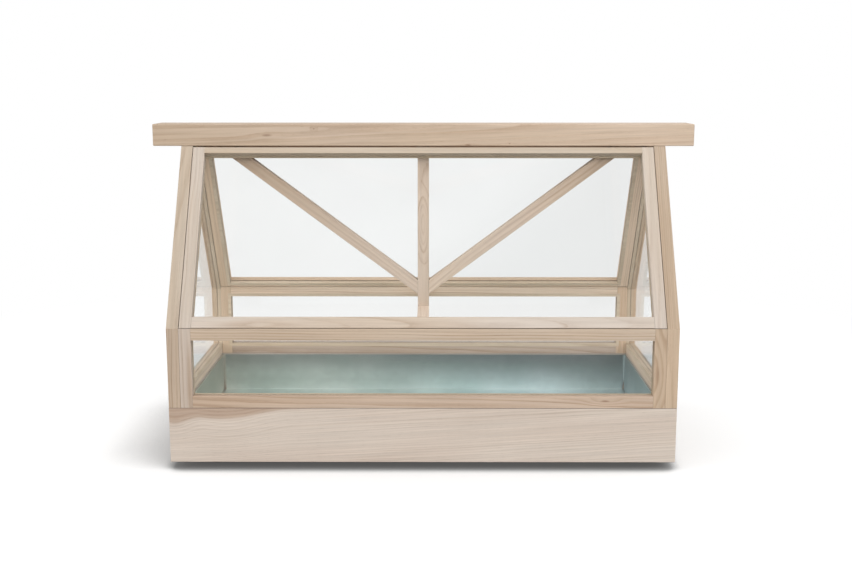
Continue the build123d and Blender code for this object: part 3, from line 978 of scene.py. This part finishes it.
@dataclass
class GlazedHouse:
    """Gables, upright frames, truss and ridge beam of the house."""

    nodes: dict[str, Piece]
    glass: Material

    def frames(self) -> Cuts:
        """Says how the members of the gables and the upright frames were sawn.

        Returns:
            The cuts by piece.
        """
        # Tints of the post, the rafter and the stile at each corner: partly wood tone and partly painted
        # light, brightest on the rear members, which get less light.
        tints_and_light = {
            "left_front": ((0.83, 0.80, 0.77), (0.93, 0.98, 1.02), (0.96, 1.00, 1.08)),
            "right_front": ((1.00, 0.97, 0.92), (0.88, 0.86, 0.83), (0.97, 0.95, 0.92)),
            "left_rear": ((1.19, 1.10, 1.00), (1.06, 0.93, 0.82), (1.23, 1.18, 1.10)),
            "right_rear": ((1.25, 1.13, 1.01), (1.26, 1.12, 0.99), (1.25, 1.18, 1.10)),
        }
        swirls = {"right_front": (Knot(-10.0, 4.0, 5.0, 4.0, 0.25, 8.0),)}
        cuts: Cuts = {}
        for side, rail_depth in (("left", 40.0), ("right", 70.0)):
            for end in End:
                dice = random.Random(f"{side}{end.value}")
                key = f"{side}_{end.value}"
                post_tint_and_light, rafter_tint_and_light, stile_tint_and_light = tints_and_light[key]
                cuts[f"{side}_gable_{end.value}_post"] = Cut(
                    FRAME_ASH, Run.UPRIGHT, dice.uniform(25, 60), dice.uniform(-30, 30),
                    dice.uniform(-1, 1), 0.9, 3.0, tint_and_light=post_tint_and_light)
                cuts[f"{side}_gable_{end.value}_rafter"] = Cut(
                    FRAME_ASH, end.roof(), dice.uniform(40, 90), dice.uniform(-60, 60),
                    dice.uniform(-0.6, 0.6), 0.5, 2.8, tint_and_light=rafter_tint_and_light)
                cuts[f"{end.value}_frame_{side}_stile"] = Cut(
                    FRAME_ASH, Run.UPRIGHT, dice.uniform(16, 32), dice.uniform(-12, 12), 1.2,
                    dice.uniform(-1.5, 1.5), 3.2, knots=swirls.get(key, ()), tint_and_light=stile_tint_and_light)
            rail = Cut(FRAME_ASH, Run.ACROSS, rail_depth, 24.0, 0.5, 0.6, 2.6, tint_and_light=(1.20, 1.20, 1.20))
            cuts[f"{side}_gable_bottom_rail"] = rail
            cuts[f"{side}_gable_top_rail"] = rail
        # Tints of the top and the bottom rail, partly wood tone and partly painted light, brightest on the
        # rear top rail; and the knots of the bottom one.
        rails = {
            End.FRONT: ((1.02, 1.04, 1.06), (0.95, 0.91, 0.90), (Knot(263.0, 5.5, 2.0, 4.5, 0.60, 5.0),)),
            End.REAR: ((1.38, 1.37, 1.36), (0.98, 0.95, 0.98), ()),
        }
        for end, (top_tint_and_light, low_tint_and_light, knots) in rails.items():
            dice = random.Random(end.value)
            cuts[f"{end.value}_frame_top_rail"] = Cut(
                FRAME_ASH, Run.ALONG, dice.uniform(34, 44), dice.uniform(58, 70), -0.7, -0.5, 4.4,
                tint_and_light=top_tint_and_light, figure=1.3)
            cuts[f"{end.value}_frame_bottom_rail"] = Cut(
                FRAME_ASH, Run.ALONG, dice.uniform(30, 50), dice.uniform(8, 20), -0.8, 0.6, 4.2,
                knots=knots, tint_and_light=low_tint_and_light, figure=1.15)
        return cuts

    def truss(self) -> Cuts:
        """Says how the beam, the truss below it and the small pieces were sawn.

        Returns:
            The cuts by piece.
        """
        knots = (Knot(-236.0, 7.0, 2.6, 4.0, 0.45), Knot(-164.5, 14.5, 1.2), Knot(68.0, -17.0, 1.8, 4.0),
                 Knot(131.0, -17.0, 1.2))
        # The tints along the beam and the struts are partly painted light and shade: the beam is darker at
        # its left end, and the struts are darker at their tops under the beam.
        beam = Cut(BEAM_ASH, Run.ALONG, 42.0, -14.0, 1.8, 1.3, 8.0, knots=knots,
                   tint_and_light=(0.84, 0.82, 0.79), fade=(1.02, 1.02, 1.04), figure=0.65)
        eye = (Knot(2.0, 0.0, 2.9, 5.5, 0.0, 13.0),)
        king = Cut(BEAM_ASH, Run.UPRIGHT, 60.0, 1.0, 0.3, 0.2, 3.0, knots=eye,
                   tint_and_light=(0.93, 0.95, 0.99), fade=(1.06, 1.06, 1.07), figure=1.2)
        left = Cut(BEAM_ASH, Run.LEFT_STRUT, 60.0, 34.0, 0.4, 0.3, 2.6,
                   tint_and_light=(0.98, 1.00, 1.04), fade=(0.77, 0.71, 0.64))
        right = Cut(BEAM_ASH, Run.RIGHT_STRUT, 70.0, -30.0, 0.4, 0.5, 2.6,
                    tint_and_light=(1.12, 1.17, 1.26), fade=(0.90, 0.86, 0.83))
        return {
            "ridge_beam": beam,
            "king_post": king,
            "left_strut": left,
            "right_strut": right,
            "cross_tie": Cut(BEAM_ASH, Run.ACROSS, 40.0, 10.0, 0.6, 0.6, 2.8, tint_and_light=(1.25, 1.27, 1.32)),
            "gable_beads": Cut(BEAD_ASH, Run.UPRIGHT, 300.0, 90.0, ring=2.2),
            "frame_beads": Cut(BEAD_ASH, Run.ALONG, 300.0, 90.0, ring=2.2),
            "house_dowels": Cut(BEECH, Run.UPRIGHT, 30.0, 20.0, ring=1.4),
        }

    def build(self) -> None:
        """Dresses the house."""
        dress_timber(self.nodes, self.frames() | self.truss())
        for name in ("left_gable_glass", "right_gable_glass", "front_frame_glass", "rear_frame_glass"):
            dress(self.nodes[name], self.glass)


@dataclass
class RoofSash:
    """Glazed roof sash that turns on pins near the ridge."""

    nodes: dict[str, Piece]
    glass: Material
    end: End

    def timber(self) -> Cuts:
        """Says how the members of the sash were sawn.

        Returns:
            The cuts by piece.
        """
        # Tints of each stile at its foot and at its head, where they differ: partly wood tone and partly
        # painted light, brightest on the rear sash.
        if self.end is End.FRONT:
            wood = PALE_ASH
            stiles = {"left": ((1.02, 1.05, 1.09), (1.05, 1.07, 1.09)),
                      "right": ((1.04, 1.06, 1.10), (1.12, 1.16, 1.20))}
            head_tint_and_light, foot_tint_and_light = (1.0, 0.98, 0.92), (1.05, 1.05, 1.05)
        else:
            wood = FRAME_ASH
            stiles = {"left": ((1.28, 1.21, 1.10), None), "right": ((1.38, 1.33, 1.28), None)}
            head_tint_and_light = foot_tint_and_light = (1.38, 1.32, 1.25)
        name = f"{self.end.value}_sash"
        dice = random.Random(self.end.value + "sash")
        cuts: Cuts = {}
        for side, (tint_and_light, fade) in stiles.items():
            cuts[f"{name}_{side}_stile"] = Cut(
                wood, self.end.roof(), dice.uniform(60, 120), dice.uniform(-90, 90), 0.3,
                dice.uniform(-0.5, 0.5), 2.4, tint_and_light=tint_and_light, fade=fade)
        cuts[f"{name}_top_rail"] = Cut(wood, Run.ALONG, 80.0, 60.0, 0.3, 0.3, 2.2, tint_and_light=head_tint_and_light)
        cuts[f"{name}_bottom_rail"] = Cut(wood, Run.ALONG, 50.0, -20.0, 0.5, 0.6, 2.6, tint_and_light=foot_tint_and_light)
        cuts[f"{name}_beads"] = Cut(BEAD_ASH, Run.ALONG, 300.0, 80.0, ring=2.2)
        cuts[f"{name}_dowels"] = Cut(BEECH, Run.ALONG, 30.0, 20.0, ring=1.4)
        return cuts

    def build(self) -> None:
        """Dresses the sash."""
        dress_timber(self.nodes, self.timber())
        dress(self.nodes[f"{self.end.value}_sash_glass"], self.glass)
        dress(self.nodes[f"{self.end.value}_sash_pivot_pins"], SteelFinish().material())


@dataclass(frozen=True)
class Glow:
    """Soft bright zone of the surroundings: where it lies, how bright it is and where it fades out."""

    aim: Point
    level: float
    edge: float


@dataclass
class Studio:
    """White floor, soft light from all round and the camera; lens in millimetres, the rest in metres."""

    lens: float = 49.07
    sensor: float = 36.0
    camera_place: Point = (0.010587, -1.80012, 0.56243)
    camera_pitch: float = 79.96
    camera_yaw: float = 0.206
    horizon: float = 0.17
    overhead: float = 0.20
    main: Glow = Glow((0.332, -0.624, 0.707), 0.95, 0.80)
    front: Glow = Glow((0.03, -0.97, 0.24), 1.18, 0.50)
    right: Glow = Glow((1.0, -0.25, 0.20), 1.15, 0.55)
    left: Glow = Glow((-1.0, -0.25, 0.20), 1.95, 0.55)
    back: Glow = Glow((0.0, 0.97, 0.24), 0.90, 0.50)
    floor_half: float = 20.0
    floor_bounce: float = 0.42
    floor_shown: float = 0.73
    floor_glow: float = 0.35
    floor_white: Span = (0.8, 1.4)
    contact_reach: float = 0.027
    cast_reach: float = 0.15
    cast_light: Point = (0.64, -0.54, 0.54)
    shade_samples: int = 16
    # Rays that look at the background, straight, by reflection or through glass.
    seen: tuple[str, ...] = ("Camera", "Glossy", "Transmission")

    def world(self) -> None:
        """Lights the object from all round, brightest in five soft zones, and shows white behind it."""
        world = bpy.data.worlds.new("studio")
        bpy.context.scene.world = world
        world.use_nodes = True
        world.node_tree.nodes.clear()
        bench = Bench(world.node_tree)
        towards = bench.place("Generated")
        height = bench.math("MAXIMUM", bench.part(towards, Axis.Z), 0.0)
        level = bench.grade(height, self.overhead, self.horizon)
        for glow in (self.main, self.front, self.right, self.left, self.back):
            facing = bench.vector("DOT_PRODUCT", towards, Vector(glow.aim).normalized())
            level = bench.math("ADD", level, bench.ease(facing, glow.edge, 1.0, 0.0, glow.level))
        white = (1.0, 1.0, 1.0, 1.0)
        light = bench.put("ShaderNodeBackground", {"Color": white, "Strength": level})
        shown = bench.put("ShaderNodeBackground", {"Color": white, "Strength": 1.0})
        mixed = bench.either(bench.rays(*self.seen), light, shown)
        bench.put("ShaderNodeOutputWorld", {"Surface": mixed.outputs[0]})

    def floor(self) -> None:
        """Lays the floor, which shows white and keeps the object's shadow, deepened by painted shadow near
        the object.
        """
        bpy.ops.object.select_all(action="DESELECT")
        bpy.ops.mesh.primitive_grid_add(x_subdivisions=4, y_subdivisions=4, size=2 * self.floor_half)
        floor = bpy.context.object
        floor.name = "studio_floor"
        material, bench, shader = new_material("studio_floor")
        bench.tree.nodes.remove(shader)
        bounce = bench.put("ShaderNodeBsdfDiffuse", {"Color": (self.floor_bounce,) * 3 + (1.0,)})
        # Painted shadow: the floor is darker under the base and where the object blocks the way towards the
        # main light.
        contact = bench.openness(self.contact_reach, self.shade_samples)
        aim = bench.put("ShaderNodeCombineXYZ", dict(enumerate(Vector(self.cast_light).normalized())))
        cast = bench.openness(self.cast_reach, self.shade_samples, Normal=aim.outputs[0])
        shade = bench.ease(contact, 0.48, 0.92, 0.40, 1.0)
        shade = bench.math("MULTIPLY", shade, bench.ease(cast, 0.42, 0.98, 0.52, 1.0))
        lit = bench.put("ShaderNodeBsdfDiffuse", {"Color": bench.scale((self.floor_shown,) * 3, shade)})
        glow = bench.put("ShaderNodeEmission", {"Strength": bench.math("MULTIPLY", shade, self.floor_glow)})
        near = bench.put("ShaderNodeAddShader", {0: lit.outputs[0], 1: glow.outputs[0]})
        far = bench.put("ShaderNodeEmission", {"Strength": 1.0})
        away = bench.vector("LENGTH", bench.place())
        shown = bench.either(bench.ease(away, *self.floor_white), near, far)
        bench.show(bench.either(bench.rays(*self.seen), bounce, shown))
        dress(floor, material)

    def camera(self) -> None:
        """Stands the camera where the photograph was taken from."""
        data = bpy.data.cameras.new("camera")
        data.lens = self.lens
        data.sensor_width = self.sensor
        camera = bpy.data.objects.new("camera", data)
        bpy.context.scene.collection.objects.link(camera)
        camera.location = self.camera_place
        camera.rotation_euler = (math.radians(self.camera_pitch), 0.0, math.radians(self.camera_yaw))
        bpy.context.scene.camera = camera

    def build(self) -> None:
        """Sets up the whole studio."""
        bpy.context.scene.view_settings.view_transform = "Standard"
        self.world()
        self.floor()
        self.camera()


def main() -> None:
    """Builds every sub-assembly in order."""
    logging.basicConfig(level=logging.INFO, format="%(name)s: %(message)s")
    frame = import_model()
    nodes = frame["nodes"]
    glass = GlassFinish().material()
    PlantingBase(nodes).build()
    PlantingTray().build()
    GlazedHouse(nodes, glass).build()
    for end in End:
        RoofSash(nodes, glass, end).build()
    Studio().build()
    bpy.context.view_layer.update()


if __name__ == "__main__":
    main()
